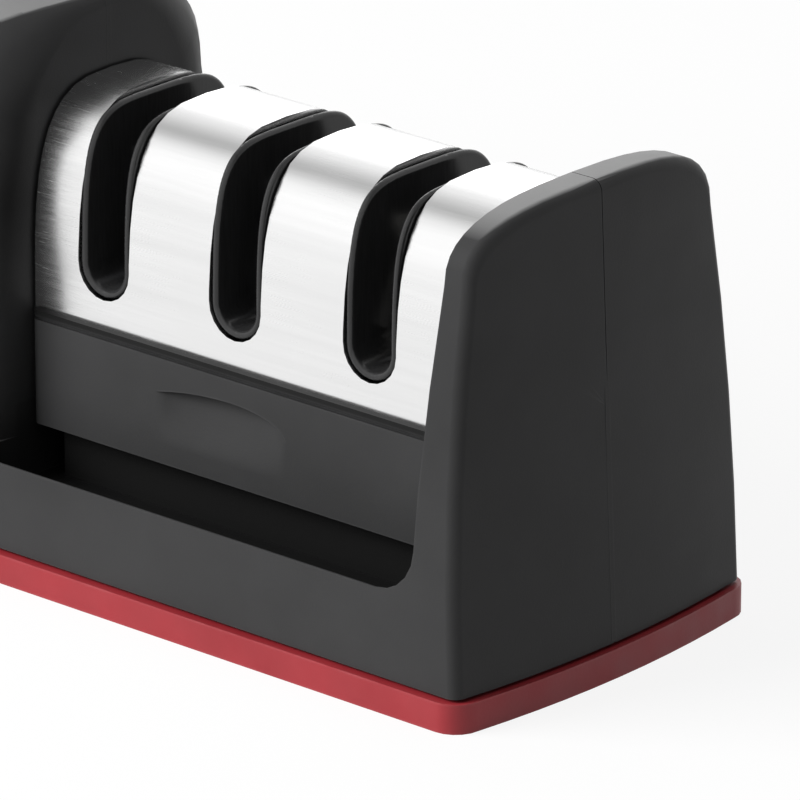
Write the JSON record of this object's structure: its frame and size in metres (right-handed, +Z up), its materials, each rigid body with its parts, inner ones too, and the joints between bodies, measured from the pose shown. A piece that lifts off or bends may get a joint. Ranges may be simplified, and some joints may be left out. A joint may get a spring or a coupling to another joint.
{
  "type": "knife sharpener",
  "caption": "Hand-held pull-through knife sharpener: closed grip, slotted steel cover over a lift-out sharpening cartridge, end cap and non-slip base pad.",
  "frame": {"origin": "centre of the base pad's underside, which stands on the worktop", "axes": "+X from the grip to the end cap, -Y the front with the thumb recess that the picture shows, +Z up"},
  "size_m": [0.2056, 0.0516, 0.07],
  "materials": {
    "housing": "black ABS with a soft satin texture",
    "plate": "plain black moulding",
    "rubber": "satin red elastomer",
    "screw": "zinc-plated steel",
    "frame": "black ABS with a soft satin texture",
    "steel": "bright stainless sheet, finely brushed",
    "guide": "glossy black moulding",
    "carbide": "ground tungsten carbide, dark grey",
    "diamond": "diamond grit in a nickel plating",
    "ceramic": "fine unglazed white ceramic"
  },
  "bodies": {
    "housing": {"front_shell": "housing", "back_shell": "housing", "base_plate": "plate", "base_pad": "rubber", "housing_screw_pillar": "screw", "housing_screw_grip": "screw", "housing_screw_heel": "screw", "base_screw_deck_front": "screw", "base_screw_deck_back": "screw", "base_screw_plinth_front": "screw", "base_screw_plinth_back": "screw"},
    "cartridge": {"cartridge_frame": "frame", "slot_cover": "steel", "slot_liner_1": "guide", "slot_liner_2": "guide", "slot_liner_3": "guide", "carbide_blade_front_1": "carbide", "carbide_blade_back_1": "carbide", "diamond_rod_front_2": "diamond", "diamond_rod_back_2": "diamond", "ceramic_rod_front_3": "ceramic", "ceramic_rod_back_3": "ceramic", "liner_screw_1": "screw", "liner_screw_2": "screw", "liner_screw_3": "screw"}
  },
  "joints": [
    {"name": "cartridge_lift", "type": "slide", "parent": "housing", "child": "cartridge", "axis": [0, 0, 1], "range_m": [0, 0.06]}
  ]
}
